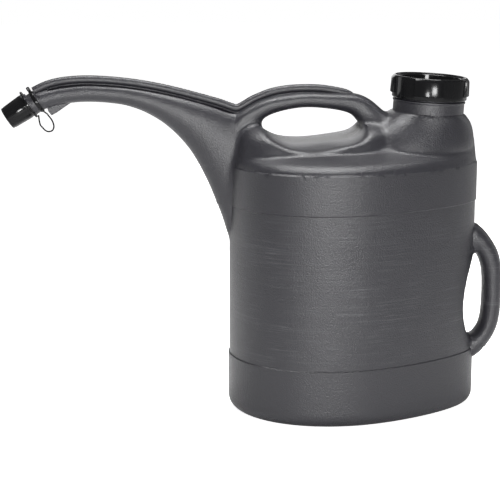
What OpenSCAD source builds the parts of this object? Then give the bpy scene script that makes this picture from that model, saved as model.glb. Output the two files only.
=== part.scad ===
// Heating oil can: a blow-moulded can with a long vented spout, a top grip, a rear grip,
// a wide screw cap and a small push-on cap that a strap keeps on the spout.
// The origin is the centre of the base. The spout points along -X and +Z is up.

/* [Body] */
// Length of the oval body
body_length = 284; // [250:1:310]
// Mean depth of the oval body
body_depth = 197; // [170:1:220]
// How much deeper the body is at the spout end than at mid-length, as a share
body_egg = 0.29; // [0:0.01:0.35]
// Roundness of the oval: 2 is an ellipse, less is leaner
body_power = 1.86; // [1.7:0.01:2.4]
// Top edge of the lower band
lower_band_top = 66; // [50:1:80]
// Bottom edge of the upper band
upper_band_bottom = 242; // [225:1:255]
// Top edge of the upper band, where the shoulder starts
upper_band_top = 285; // [275:1:295]
// How far both bands stand proud of the wall between them
band_proud = 1.3; // [0.5:0.1:2.5]
// Radius round the base edge
base_edge = 15; // [8:0.5:18]
// Height of the shoulder above the upper band
shoulder_rise = 27; // [25:0.5:28]
// Thickness of the moulded wall
wall = 1.8; // [1.2:0.1:2.4]

/* [Top grip] */
// Half width of the grip bar
grip_half_width = 16; // [13:0.5:20]
// Outer radius of the vent tube along the top
vent_radius = 4.6; // [4.2:0.1:5]
// Bore radius of the vent tube
vent_bore = 2.6; // [1.8:0.1:2.8]

/* [Rear grip] */
// How far the rear grip stands out from the body
rear_reach = 22.5; // [20:0.5:30]
// Half width of the rear grip
rear_half_width = 16; // [12:0.5:20]
// Half thickness of the rear grip
rear_half_thickness = 11; // [8.5:0.1:11.5]
// Depth of the finger recess in the body's rear wall
recess_depth = 17; // [8:0.5:18]

/* [Spout] */
// Distance from the can's middle to the spout cap's flange
spout_reach = 364.9; // [340:0.1:390]
// Height of the top of the spout's arch
arch_height = 388; // [378:1:398]
// Radius of the spout tube before its end
spout_radius = 10.2; // [9:0.1:11]
// Half width of the spout where it leaves the body
root_half_width = 20; // [16:0.5:30]
// Angle of the spout's end below the horizontal
tip_droop = 33; // [28:1:38]
// Radius of the collar between the spout's mouth and its tube
collar_radius = 12.1; // [11.6:0.1:12.4]
// Radius of the spout's mouth
mouth_radius = 11.3; // [10.8:0.1:11.8]
// Length of the mouth that the cap covers
mouth_length = 28; // [22:0.5:30]
// Bore radius of the mouth
mouth_bore = 6.8; // [5.5:0.1:7]

/* [Filler neck and cap] */
// Outer radius of the filler neck
neck_radius = 40.3; // [38:0.1:41]
// Bore radius of the filler neck
neck_bore = 37.6; // [34:0.1:38]
// Height of the neck's rim above the level of its root
neck_height = 38; // [36:0.5:40]
// Lean of the neck away from the spout
neck_lean = 4; // [0:0.5:6]
// Height of the screw cap
cap_height = 25; // [22:0.5:27]
// Wall of the screw cap's skirt
cap_wall = 1.6; // [1.2:0.1:2]
// Number of grip lugs round the screw cap
lug_count = 4; // [3:1:8]
// How far a lug stands out from the skirt
lug_proud = 2.4; // [1.5:0.1:3]
// Angle that one lug covers
lug_angle = 43; // [20:1:43]
// Depth of the dish in the screw cap's top below its plate
dish_depth = 7; // [4:0.5:9]
// Thickness of the sealing ring in the screw cap
gasket_thickness = 1.2; // [0.8:0.1:2]

/* [Spout cap and strap] */
// Wall of the spout cap
plug_wall = 1.2; // [1:0.1:1.6]
// Radius of the flange round the spout cap's open end
flange_radius = 16.9; // [16:0.1:18]
// Thickness of that flange
flange_thickness = 2; // [1.5:0.1:2.5]
// Number of raised flutes round the spout cap
flute_count = 8; // [6:1:12]
// Radial thickness of the strap's ring round the spout
strap_ring_wall = 1.5; // [1.2:0.1:1.8]
// Width of the strap's ring along the spout
strap_ring_width = 4.2; // [3.4:0.1:4.4]
// Height of the pull tab on the strap's ring
knob_height = 6; // [4:0.5:7]
// Radius of the strap's strand
strand_radius = 0.9; // [0.7:0.1:1.1]

/* [Hidden] */
$fn = 64;

clearance = 0.3;
half_length = body_length / 2;
half_depth = body_depth / 2;
body_sides = 34;
inner_sides = 26;
boss_sides = 24;
spout_sides = 16;
tube_sides = 10;
body_top = upper_band_top + shoulder_rise;

// Colours
plastic_grey = [0.30, 0.31, 0.33];
cap_black = [0.05, 0.05, 0.055];
gasket_grey = [0.35, 0.35, 0.36];

// The outlines further down are drawn for a can of this half length, reach, band height and arch height.
// fit() carries a drawn point [x, z] to the can's own sizes.
drawn = [142, 364.9, 285, 388];
function fit_x(x) = x < -drawn[0]
    ? -half_length + (x + drawn[0]) * (spout_reach - half_length) / (drawn[1] - drawn[0])
    : x * half_length / drawn[0];
function fit_z(z) = z < drawn[2]
    ? z * upper_band_top / drawn[2]
    : upper_band_top + (z - drawn[2]) * (arch_height - upper_band_top) / (drawn[3] - drawn[2]);
function fit(p) = [fit_x(p[0]), fit_z(p[1])];

// The tip frame has its origin on the mouth's axis at the back of the spout cap's flange.
// Its +Z runs out of the mouth and its +X is the spout's upper side.
tip_x = -spout_reach;
tip_z = fit_z(356.7);
collar_drop = 2;
collar_back = -12.4;
bore_drop = 2.8;
vent_offset = 6.6;
vent_tip_bore = 2;
ring_place = -10.4;

// The neck frame has its origin at the neck's root, and its +Z is the neck's axis.
neck_x = fit_x(85);
neck_z = fit_z(340);
bore_bottom = -12;
cap_top_thickness = 2.4;
cap_rim_height = 1.6;
cap_top = neck_height + gasket_thickness + cap_top_thickness + cap_rim_height;
cap_bottom = cap_top - cap_height;
cap_bore = neck_radius + 0.5;
cap_radius = cap_bore + cap_wall;
cap_rim_width = 3.2;
lug_bottom = 5;
lug_turn = -13.4;
lug_draft = 0.6;
gasket_width = 4;
dish_radius = neck_radius - gasket_width - 2.3;
dish_wall = 2;

function up_dir() = [-sin(tip_droop), cos(tip_droop)];
function out_dir() = [-cos(tip_droop), -sin(tip_droop)];
function tip_point(out, up) = [tip_x, tip_z] + out * out_dir() + up * up_dir();

// Catmull-Rom curve through a list of stations, with steps points to a span
function blend4(a, b, c, d, t) =
    0.5 * (2 * b + (c - a) * t + (2 * a - 5 * b + 4 * c - d) * t * t + (3 * b - a - 3 * c + d) * t * t * t);
function curve(p, steps) = [
    for (i = [0 : len(p) - 2], k = [0 : steps - 1])
        blend4(p[max(i - 1, 0)], p[i], p[i + 1], p[min(i + 2, len(p) - 1)], k / steps),
    p[len(p) - 1]
];
function closed_curve(p, steps) = [
    for (i = [0 : len(p) - 1], k = [0 : steps - 1])
        blend4(p[(i + len(p) - 1) % len(p)], p[i], p[(i + 1) % len(p)], p[(i + 2) % len(p)], k / steps)
];

function power_cos(t, n) = sign(cos(t)) * pow(abs(cos(t)), 2 / n);
function power_sin(t, n) = sign(sin(t)) * pow(abs(sin(t)), 2 / n);

// Closed skin over rings of equal length, each ring counter-clockwise seen from the last ring's side
module skin(rings) {
    n = len(rings[0]);
    m = len(rings);
    points = [for (r = rings) each r];
    sides = [
        for (i = [0 : m - 2], k = [0 : n - 1])
            each [
                [i * n + k, (i + 1) * n + k, (i + 1) * n + (k + 1) % n],
                [i * n + k, (i + 1) * n + (k + 1) % n, i * n + (k + 1) % n]
            ]
    ];
    polyhedron(points, concat([[for (k = [0 : n - 1]) k]], sides, [[for (k = [n - 1 : -1 : 0]) (m - 1) * n + k]]));
}

// How far back the body reaches at height z, which the finger recess shortens
recess_low = fit_z(74);
recess_high = fit_z(182);
function rear_limit(z) =
    let (s = (z - recess_low) / (recess_high - recess_low))
    half_length + band_proud - (s > 0 && s < 1 ? recess_depth * pow(sin(180 * pow(s, 0.8)), 0.8) : 0);

// Oval section of the body at height z, inset all round, with its depth multiplied by squash
function body_ring(z, inset, squash, gap) = [
    for (n = [gap > 0 ? inner_sides : body_sides], k = [0 : n - 1])
        let (
            t = 360 * k / n,
            x = (half_length - inset) * power_cos(t, body_power),
            y = (half_depth - inset) * power_sin(t, body_power) * (1 - body_egg * x / half_length) * squash
        )
        [min(x, rear_limit(z) - gap), y, z]
];

// The body from base to shoulder; gap insets it by the wall for the hollow
module body_loft(gap) {
    edge = max(base_edge - gap, 1);
    corner = [for (a = [0 : 30 : 90]) [gap + edge * (1 - cos(a)), gap - band_proud + edge * (1 - sin(a)), 1]];
    step = 1.2;
    wall_rings = [
        [lower_band_top, gap - band_proud, 1],
        [lower_band_top + step, gap, 1],
        for (f = [0.04, 0.12, 0.26, 0.4, 0.54, 0.66])
            [lower_band_top + step + f * (upper_band_bottom - lower_band_top), gap, 1],
        [upper_band_bottom - step, gap, 1],
        [upper_band_bottom, gap - band_proud, 1],
        [upper_band_top, gap - band_proud, 1]
    ];
    shoulder = [
        for (s = [[0.2, 0.98], [0.36, 0.925], [0.47, 0.845], [0.58, 0.745], [0.69, 0.64], [0.8, 0.575], [0.93, 0.53], [1, 0.5]])
            [upper_band_top + s[0] * (shoulder_rise - gap), gap + 2.5 * s[0], s[1]]
    ];
    skin([for (r = concat(corner, wall_rings, shoulder)) body_ring(r[0], r[1], r[2], gap)]);
}

// The boss between the body and the filler neck: [height, front, rear, half width, egg]
module neck_boss(gap) {
    levels = curve([
        [fit_z(268), 12, half_length - 14, 42, body_egg],
        [fit_z(288), 8, half_length - 9, 50, body_egg],
        [fit_z(304), 5, half_length - 4, 52, 0.22],
        [fit_z(318), 6, half_length - 4.5, 48.5, 0.14],
        [fit_z(329), 15, half_length - 7.5, 44.5, 0.06],
        [fit_z(337), 32, half_length - 11.5, 42, 0.02],
        [neck_z + 3, neck_x - neck_radius - 1, neck_x + neck_radius + 1, neck_radius + 0.6, 0]
    ], 2);
    skin([
        for (i = [0 : len(levels) - 1])
            [for (k = [0 : boss_sides - 1])
                let (
                    v = levels[i],
                    t = 360 * k / boss_sides,
                    c = power_cos(t, 2.1),
                    x = (v[2] - v[1]) / 2 - gap,
                    tilt = max(v[0] - neck_z + 10, 0) / 13 * sin(neck_lean)
                )
                [
                    (v[1] + v[2]) / 2 + x * c,
                    (v[3] - gap) * power_sin(t, 2.1) * (1 - v[4] * c),
                    v[0] - (i == len(levels) - 1 ? gap : 0) - tilt * x * c
                ]]
    ]);
}

// The saddle that carries both ends of the grip: [height, front, rear, half width]
saddle_levels = [
    [292, -137.5, 45, 65], [300, -137, 45, 62.5], [307, -136, 45, 60.5], [313, -134, 45, 58],
    [320, -131, 45, 51.5], [326, -127, 45, 42], [330, -122, 45, 29], [333, -114, 44, 13]
];
module saddle(gap) {
    roundness = 2.8;
    skin([
        for (v = saddle_levels)
            let (front = fit_x(v[1]), rear = fit_x(v[2]), last = v == saddle_levels[len(saddle_levels) - 1])
            [for (k = [0 : boss_sides - 1])
                let (t = 360 * k / boss_sides)
                [
                    (front + rear) / 2 + ((rear - front) / 2 - gap) * power_cos(t, roundness),
                    (v[3] * body_depth / 197 - gap) * power_sin(t, roundness),
                    fit_z(v[0]) - (last ? gap : 0)
                ]]
    ]);
}

// Tube of stations [low x, low z, high x, high z, half width] in the middle plane
module flat_tube(stations, sides, power, gap) {
    skin([
        for (s = stations)
            let (
                low = [s[0], s[1]],
                high = [s[2], s[3]],
                mid = (low + high) / 2,
                dir = (high - low) / norm(high - low),
                reach = norm(high - low) / 2 - gap
            )
            [for (k = [0 : sides - 1])
                let (
                    t = 360 * k / sides,
                    p = mid + dir * reach * power_cos(t, power)
                )
                [p[0], -(s[4] - gap) * power_sin(t, power), p[1]]]
    ]);
}

function station(low, high, w) = [low[0], low[1], high[0], high[1], w];
function drawn_station(x1, z1, x2, z2, w) = station(fit([x1, z1]), fit([x2, z2]), w);
tube_start = ring_place - 0.6;
root_gain = root_half_width - spout_radius;
function spout_stations(gap) = [
    station(tip_point(tube_start - gap, -14.4), tip_point(tube_start - gap, 8), collar_radius - 0.3),
    drawn_station(-331, 355.8, -337.5, 375.4, spout_radius + 0.4),
    drawn_station(-304, 358.4, -304.6, 379, spout_radius),
    drawn_station(-275.6, 356.8, -272.8, 377.4, spout_radius + 0.02 * root_gain),
    drawn_station(-253.4, 352.6, -246.2, 374.2, spout_radius + 0.1 * root_gain),
    drawn_station(-231.2, 343.3, -219.1, 368.8, spout_radius + 0.27 * root_gain),
    drawn_station(-208.9, 327.8, -192.4, 362.4, spout_radius + 0.51 * root_gain),
    drawn_station(-186.6, 303.1, -166.1, 354.8, spout_radius + 0.73 * root_gain),
    drawn_station(-168, 269.5, -144.1, 347.8, spout_radius + 0.9 * root_gain),
    drawn_station(-153, 232, -122, 342, root_half_width),
    drawn_station(-144, 203, -106, 336, root_half_width),
    drawn_station(-134, 176, -96, 331, root_half_width - 2)
];

// The grip bar under the vent tube, from inside the spout's root to inside the neck boss
bar_stations = [
    drawn_station(-136, 318, -134, 344, grip_half_width),
    drawn_station(-114, 330, -121, 353, grip_half_width),
    drawn_station(-94, 342.5, -98, 362, grip_half_width),
    drawn_station(-62, 349.3, -62, 367, grip_half_width),
    drawn_station(-30, 347.7, -28, 366, grip_half_width),
    drawn_station(-6, 342, 0, 361.5, grip_half_width),
    drawn_station(5, 331, 17, 357, grip_half_width + 1),
    drawn_station(15, 318, 34, 344, grip_half_width + 3),
    drawn_station(24, 306, 48, 334, grip_half_width + 4)
];

// Middle line of the vent tube, from the collar over the spout and the grip into the bar
vent_drawn = [
    [-346, 377.6], [-329.6, 381.6], [-308.2, 383.4], [-286.5, 382.9], [-264.6, 381], [-242.7, 378],
    [-220.7, 373.8], [-198.5, 368.5], [-176.2, 362.4], [-153.9, 355.9], [-141.5, 351.4], [-133.5, 349.4],
    [-125, 353.2], [-116.5, 358.2], [-105.6, 363], [-94.6, 366.8], [-80, 369.6], [-62, 370.9],
    [-39.5, 370.3], [-17.5, 366.7], [-7.5, 363.6], [-2, 359], [-0.5, 353]
];
vent_line = [for (p = vent_drawn) fit(p)];
vent_outer_line = concat([tip_point(tube_start - 0.7, 9.4)], vent_line);
vent_inner_line = concat([tip_point(tube_start - 1.3, 8.4)], [for (i = [0 : len(vent_line) - 2]) vent_line[i]], [fit([-3, 350])]);

// Oval tube along a line in the middle plane; drop lowers it square to the line
module swept_tube(line, half_high, half_wide, sides, drop = 0) {
    last = len(line) - 1;
    skin([
        for (i = [0 : last])
            let (
                d = line[min(i + 1, last)] - line[max(i - 1, 0)],
                u = d / norm(d)
            )
            [for (k = [0 : sides - 1])
                let (
                    t = 360 * k / sides,
                    up = half_high * cos(t) - drop
                )
                [line[i][0] - u[1] * up, -half_wide * sin(t), line[i][1] + u[0] * up]]
    ]);
}

// The vent tube stands on a thin ledge that joins it to the spout and the grip
module vent() {
    ledge_thickness = 1.6;
    swept_tube(vent_outer_line, vent_radius, vent_radius, tube_sides);
    swept_tube(vent_line, ledge_thickness / 2, vent_radius + 2.4, 8, vent_radius - 0.2);
}

// Rear grip: a bowed tube from the wall to the lower band: [inner x, inner z, outer x, outer z]
rear_drawn = [
    [121, 186, 129, 226], [135.5, 181.5, 146.5, 211], [143.4, 178, 157.5, 200], [149, 168.5, 169.5, 181],
    [152.4, 154, 174.8, 160.5], [153.4, 134, 175.6, 134], [152.8, 112, 174.6, 108.5], [150.6, 96.5, 171.2, 90],
    [146, 87, 163.5, 74], [138, 80, 151, 59], [124, 73, 134, 47]
];
module rear_grip(gap) {
    drawn_thickness = 22;
    drawn_reach = 22.5;
    stations = [
        for (p = rear_drawn)
            let (
                mid = [p[0] + p[2], p[1] + p[3]] / 2,
                half = [p[2] - p[0], p[3] - p[1]] / 2 * rear_half_thickness * 2 / drawn_thickness,
                away = max(mid[0] - drawn[0], 0) / drawn_reach * (rear_reach - drawn_reach),
                place = [fit_x(mid[0]) + away, fit_z(mid[1])]
            )
            station(place - half, place + half, rear_half_width)
    ];
    flat_tube(curve(stations, 2), 14, 2.2, gap);
}

// Outline of the hand hole under the grip
hole_outline = [
    [-106.5, 331], [-103, 324.6], [-95, 318.2], [-80, 311.6], [-60, 309.8], [-38, 311], [-18, 312.4],
    [-4, 315.4], [4.5, 321.6], [7, 329], [2, 338], [-16, 345.4], [-50, 349.6], [-85, 347], [-101, 340.6]
];
hole_middle = [-50, 329];
hole_flare = 7;
hole_flare_start = 28;
hole_flare_end = 64;
// The hole keeps its outline near the middle plane and widens by hole_flare towards both sides
module hand_hole(grow) {
    outline = closed_curve(hole_outline, 2);
    skin([
        for (y = [body_depth, hole_flare_end, 55, 42, hole_flare_start, -hole_flare_start, -42, -55, -hole_flare_end, -body_depth])
            [for (p = outline)
                let (
                    away = (p - hole_middle) / norm(p - hole_middle),
                    share = min((abs(y) - hole_flare_start) / (hole_flare_end - hole_flare_start), 1),
                    q = fit(p + away * hole_flare * pow(share, 1.6)) + away * grow
                )
                [q[0], y, q[1]]]
    ]);
}

// Small drip tab under the spout, just behind the strap
module drip_tab() {
    thickness = 3;
    rotate([90, 0, 0])
        translate([0, 0, -thickness / 2])
            linear_extrude(thickness)
                polygon([
                    for (p = [[-345.2, 352], [-344.2, 348.4], [-340.7, 343.9], [-335.3, 346.6], [-317, 359], [-330, 362]])
                        fit(p)
                ]);
}

module in_tip_frame() {
    translate([tip_x, 0, tip_z]) rotate([0, -90 - tip_droop, 0]) children();
}

module in_neck_frame() {
    translate([neck_x, 0, neck_z]) rotate([0, neck_lean, 0]) children();
}

// All the moulded forms of the can, solid for gap 0 and hollow for gap = wall
module can_forms(gap) {
    difference() {
        union() {
            body_loft(gap);
            neck_boss(gap);
            saddle(gap);
            flat_tube(curve(spout_stations(gap), 2), gap > 0 ? spout_sides - 4 : spout_sides, 2.1, gap);
        }
        hand_hole(gap);
    }
    flat_tube(curve(bar_stations, 2), gap > 0 ? 12 : 16, 2.6, gap);
    rear_grip(gap);
}

// One closed shell from the lofted forms
module can_shell() {
    resize([0, 0, 0])
        difference() {
            union() {
                can_forms(0);
                vent();
                drip_tab();
                in_tip_frame() spout_end();
            }
            can_forms(wall);
            swept_tube(vent_inner_line, vent_bore, vent_bore, 8);
            in_tip_frame() {
                translate([-bore_drop, 0, collar_back - 6])
                    cylinder(r = mouth_bore, h = mouth_length - collar_back + 7, $fn = 24);
                translate([vent_offset, 0, collar_back - 1])
                    cylinder(r = vent_tip_bore, h = mouth_length - collar_back + 2, $fn = 12);
            }
        }
}

// The mouth that the cap covers, and the collar behind it that the strap's ring goes round
module spout_end() {
    taper = 1.2;
    edge = 0.8;
    rotate_extrude($fn = 36)
        polygon([
            [0, -clearance - 2 * edge], [mouth_radius + taper, -clearance - 2 * edge], [mouth_radius + taper, -clearance],
            [mouth_radius, mouth_length - edge], [mouth_radius - edge, mouth_length], [0, mouth_length]
        ]);
    translate([-collar_drop, 0, collar_back])
        cylinder(r = collar_radius, h = -collar_back - clearance - edge, $fn = 36);
}

// The filler neck with the bead under its cap
module neck_solid() {
    bead = 1;
    bead_width = 3;
    rim_edge = 1;
    bead_top = cap_bottom - 1.2;
    rotate_extrude()
        polygon([
            [0, 0], [neck_radius, 0],
            [neck_radius, bead_top - bead_width], [neck_radius + bead, bead_top - bead_width + bead],
            [neck_radius + bead, bead_top - bead], [neck_radius, bead_top],
            [neck_radius, neck_height - rim_edge], [neck_radius - rim_edge, neck_height], [0, neck_height]
        ]);
}

module can_body() {
    color(plastic_grey)
        difference() {
            union() {
                can_shell();
                in_neck_frame() neck_solid();
            }
            in_neck_frame()
                translate([0, 0, bore_bottom])
                    cylinder(r = neck_bore, h = neck_height - bore_bottom + 1);
        }
}

// The screw cap: a skirt with grip lugs, a raised rim and a dish that sinks into the neck
module filler_cap() {
    plate = cap_top - cap_rim_height;
    seat = plate - cap_top_thickness;
    edge = 1.2;
    lug_height = cap_height - lug_bottom - 1.6;
    color(cap_black)
        in_neck_frame()
            difference() {
                union() {
                    rotate_extrude()
                        polygon([
                            [0, plate], [cap_radius - cap_rim_width, plate],
                            [cap_radius - cap_rim_width + 0.4, cap_top], [cap_radius - edge, cap_top],
                            [cap_radius, cap_top - edge], [cap_radius, cap_bottom], [0, cap_bottom]
                        ]);
                    for (k = [0 : lug_count - 1])
                        rotate([0, 0, 360 * k / lug_count + lug_turn - lug_angle / 2])
                            translate([0, 0, cap_bottom + lug_bottom])
                                rotate_extrude(angle = lug_angle)
                                    polygon([
                                        [cap_radius - 1, 0], [cap_radius + lug_proud, 0],
                                        [cap_radius + lug_proud - lug_draft, lug_height - 2.4],
                                        [cap_radius + 0.4, lug_height], [cap_radius - 1, lug_height]
                                    ]);
                }
                rotate_extrude()
                    polygon([
                        [0, cap_bottom - 1], [cap_bore, cap_bottom - 1], [cap_bore, seat],
                        [dish_radius + dish_wall, seat], [dish_radius + dish_wall, plate - dish_depth - cap_top_thickness],
                        [0, plate - dish_depth - cap_top_thickness]
                    ]);
                translate([0, 0, plate - dish_depth])
                    cylinder(r = dish_radius, h = dish_depth + 1);
            }
}

module cap_gasket() {
    color(gasket_grey)
        in_neck_frame()
            translate([0, 0, neck_height])
                difference() {
                    cylinder(r = cap_bore - clearance, h = gasket_thickness);
                    translate([0, 0, -1])
                        cylinder(r = neck_radius - gasket_width + clearance, h = gasket_thickness + 2);
                }
}

// The push-on spout cap: a tapered cup with broad flutes and a flange
module spout_cap() {
    taper = 1.2;
    floor_z = mouth_length + clearance;
    open_r = mouth_radius + taper + clearance;
    end_r = mouth_radius + clearance;
    end_z = floor_z + plug_wall;
    flute_proud = 0.25;
    flute_half_width = 3.2;
    color(cap_black)
        in_tip_frame()
            difference() {
                union() {
                    rotate_extrude()
                        polygon([
                            [0, 0], [flange_radius - 0.4, 0], [flange_radius, 0.5], [flange_radius, flange_thickness - 0.4],
                            [flange_radius - 0.5, flange_thickness], [open_r + plug_wall, flange_thickness + 0.6],
                            [end_r + plug_wall, end_z - 0.8], [end_r + plug_wall - 0.9, end_z],
                            [0, end_z]
                        ]);
                    for (k = [0 : flute_count - 1])
                        rotate([0, 0, 360 * k / flute_count])
                            translate([0, -flute_half_width, flange_thickness - 0.5])
                                cube([end_r + plug_wall + flute_proud, 2 * flute_half_width, floor_z - flange_thickness]);
                }
                rotate_extrude()
                    polygon([[0, -1], [open_r, -1], [open_r, 0], [end_r, floor_z], [0, floor_z]]);
            }
}

// Strand of the strap: from the ring round the spout down in a loop to the cap's flange
strand_drawn = [
    [-345.9, 345.8], [-343.6, 342.9], [-341.2, 339.6], [-339.3, 335.8], [-338.4, 331.9], [-339, 328.5],
    [-341.1, 326.3], [-344.5, 325.6], [-347.8, 327], [-351, 330.4], [-353.7, 334.3]
];
ring_bore = collar_radius + 0.1;
ring_outer = ring_bore + strap_ring_wall;
strand_line = concat(
    [tip_point(ring_place + strap_ring_width / 2, -collar_drop - ring_outer + 0.6)],
    [for (p = strand_drawn) fit(p)],
    [tip_point(-clearance - strand_radius - 0.3, -flange_radius + 1.2)]
);

// The strap: its ring round the collar, a pull tab on top and the strand
module spout_strap() {
    knob_width = 4.6;
    color(cap_black) {
        in_tip_frame()
            translate([-collar_drop, 0, ring_place]) {
                difference() {
                    cylinder(r = ring_outer, h = strap_ring_width);
                    translate([0, 0, -1]) cylinder(r = ring_bore, h = strap_ring_width + 2);
                }
                translate([ring_outer - 0.4, -knob_width / 2, 0])
                    cube([knob_height, knob_width, strap_ring_width]);
            }
        swept_tube(curve(strand_line, 2), strand_radius, strand_radius, 8);
    }
}

can_body();
filler_cap();
cap_gasket();
spout_cap();
spout_strap();
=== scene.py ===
import math

import bmesh
import bpy
import numpy as np
from bpy.props import FloatProperty, FloatVectorProperty, IntProperty, PointerProperty
from mathutils import Matrix, Vector


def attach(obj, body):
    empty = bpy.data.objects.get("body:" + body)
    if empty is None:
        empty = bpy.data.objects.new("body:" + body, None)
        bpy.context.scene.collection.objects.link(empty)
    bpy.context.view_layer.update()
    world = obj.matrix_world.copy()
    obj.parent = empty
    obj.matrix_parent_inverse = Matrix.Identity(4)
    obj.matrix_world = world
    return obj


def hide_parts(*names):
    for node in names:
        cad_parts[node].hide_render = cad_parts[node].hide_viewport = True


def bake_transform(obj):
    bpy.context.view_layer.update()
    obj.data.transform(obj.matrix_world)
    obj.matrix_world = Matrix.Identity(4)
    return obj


bl_info = {
    "name": "Heating Oil Can",
    "version": (1, 0, 0),
    "blender": (4, 5, 0),
    "location": "View3D > Sidebar > Oil Can",
    "description": "Dresses the vented long-spout oil can with moulded surfaces and plastic finishes",
    "category": "Object",
}

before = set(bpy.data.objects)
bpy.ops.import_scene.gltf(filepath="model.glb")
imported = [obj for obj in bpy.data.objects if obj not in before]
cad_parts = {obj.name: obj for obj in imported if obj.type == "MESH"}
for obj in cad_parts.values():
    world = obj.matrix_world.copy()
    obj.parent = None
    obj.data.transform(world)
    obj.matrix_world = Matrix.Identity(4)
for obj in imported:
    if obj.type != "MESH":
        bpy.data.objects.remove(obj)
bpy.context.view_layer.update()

MM = 0.001
WALL_BODY = "can"
PLUG_BODY = "plug"
CAP_BODY = "cap"


# Property helpers

def length(name, description, mm, low=0.0):
    """A length property whose default is given in millimetres."""
    return FloatProperty(name=name, description=description, default=mm * MM, min=low * MM,
                         unit="LENGTH", precision=4)


def signed_length(name, description, mm):
    """A place along an axis, in millimetres, that may be negative."""
    return FloatProperty(name=name, description=description, default=mm * MM, unit="LENGTH", precision=4)


def angle(name, description, degrees):
    """An angle property whose default is given in degrees."""
    return FloatProperty(name=name, description=description, default=math.radians(degrees),
                         unit="ROTATION")


def factor(name, description, value, high=1.0):
    """A plain share or strength."""
    return FloatProperty(name=name, description=description, default=value, min=0.0, max=high,
                         subtype="FACTOR")


def colour(name, description, value):
    """A linear colour property."""
    return FloatVectorProperty(name=name, description=description, default=value, min=0.0, max=1.0,
                               size=3, subtype="COLOR")


class BodySizes(bpy.types.PropertyGroup):
    """Sizes of the oval body."""
    length: length("Length", "Length of the oval body", 284)
    depth: length("Depth", "Mean depth of the oval body", 197)
    egg: factor("Egg", "How much deeper the body is at the spout end than at mid-length", 0.29)
    power: FloatProperty(name="Roundness", description="2 is an ellipse, less is leaner", default=1.86,
                         min=1.5, max=3.0)
    lower_band_top: length("Lower band top", "Top edge of the lower band", 66)
    upper_band_bottom: length("Upper band bottom", "Bottom edge of the upper band", 242)
    upper_band_top: length("Upper band top", "Height at which the shoulder starts", 285)
    band_proud: length("Band step", "How far both bands stand proud of the wall", 1.3)
    base_edge: length("Base edge", "Radius round the base edge", 15)
    shoulder_rise: length("Shoulder rise", "Height of the shoulder above the upper band", 27)
    wall: length("Wall", "Thickness of the moulded wall as it shows inside", 3.4)
    recess_depth: length("Finger recess", "Depth of the recess behind the rear grip", 18.5)
    recess_low: length("Recess bottom", "Lower end of that recess", 74)
    recess_high: length("Recess top", "Upper end of that recess", 182)
    grid: length("Skin grid", "Spacing of the points that the moulded skin is made of", 2.2)


class SpoutSizes(bpy.types.PropertyGroup):
    """Sizes of the long spout, its end and the vent tube."""
    radius: length("Tube radius", "Radius of the spout tube before its end", 10.2)
    root_half_width: length("Root half width", "Half width of the spout where it leaves the body", 20)
    tip_x: signed_length("Tip X", "Place of the spout cap's flange along X", -364.9)
    tip_z: signed_length("Tip Z", "Height of the spout cap's flange", 356.7)
    droop: angle("Droop", "Angle of the spout's end below the horizontal", 33)
    collar_radius: length("Collar radius", "Radius of the collar behind the mouth", 12.1)
    collar_drop: length("Collar drop", "How far the collar's middle lies below the mouth's axis", 2)
    collar_back: length("Collar length", "How far the collar reaches back from the flange", 12.4)
    tube_start: length("Tube start", "How far behind the flange the spout's tube starts", 11)
    mouth_radius: length("Mouth radius", "Radius of the mouth that the cap covers", 11.3)
    mouth_taper: length("Mouth taper", "How much wider the mouth is at its base", 1.2)
    mouth_length: length("Mouth length", "Length of that mouth", 28)
    mouth_bore: length("Mouth bore", "Bore radius of the mouth", 6.8)
    bore_drop: length("Bore drop", "How far the bore lies below the mouth's axis", 2.8)
    vent_radius: length("Vent radius", "Outer radius of the vent tube along the top", 4.6)
    vent_bore: length("Vent bore", "Bore radius of the vent in the mouth", 2)
    vent_offset: length("Vent offset", "How far the vent lies above the mouth's axis", 6.6)
    ledge_width: length("Ledge half width", "Half width of the thin ledge that carries the vent tube", 7)


class GripSizes(bpy.types.PropertyGroup):
    """Sizes of the top grip and the rear grip."""
    half_width: length("Bar half width", "Half width of the top grip bar", 16)
    rear_half_width: length("Rear half width", "Half width of the rear grip", 16)
    rear_half_thickness: length("Rear half thickness", "Half thickness of the rear grip", 11)
    fillet: length("Fillet reach", "How far the rounding reaches where two forms meet", 9)


class NeckSizes(bpy.types.PropertyGroup):
    """Sizes of the filler neck, its cap and the seal."""
    x: signed_length("Neck X", "Place of the neck's axis along X at its root", 85)
    z: signed_length("Neck Z", "Height of the neck's root", 340)
    lean: angle("Lean", "Lean of the neck away from the spout", 3.3)
    radius: length("Radius", "Outer radius of the neck over its thread", 40.3)
    bore: length("Bore", "Bore radius of the neck", 37.6)
    height: length("Height", "Height of the neck's rim above its root", 38)
    thread_depth: length("Thread depth", "Depth of the neck's thread", 1.9)
    thread_pitch: length("Thread pitch", "Rise of the thread in one turn", 6)
    cap_height: length("Cap height", "Height of the screw cap", 25)
    cap_wall: length("Cap wall", "Wall of the screw cap's skirt", 1.6)
    cap_top_thickness: length("Cap plate", "Thickness of the screw cap's top", 2.4)
    cap_rim_height: length("Cap rim height", "Height of the raised rim round the cap's top", 1.6)
    cap_rim_width: length("Cap rim width", "Width of that rim", 3.2)
    dish_depth: length("Dish depth", "Depth of the dish in the cap's top", 7)
    dish_radius: length("Dish radius", "Radius of that dish", 34)
    gasket: length("Seal thickness", "Thickness of the seal in the screw cap", 1.2)
    lug_count: IntProperty(name="Lugs", description="Number of grip lugs round the cap", default=4, min=3)
    lug_proud: length("Lug step", "How far a lug stands out from the skirt", 2.4)
    lug_angle: angle("Lug angle", "Angle that one lug covers", 43)
    lug_turn: angle("Lug turn", "Direction of the first lug's middle", -13.4)


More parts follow.
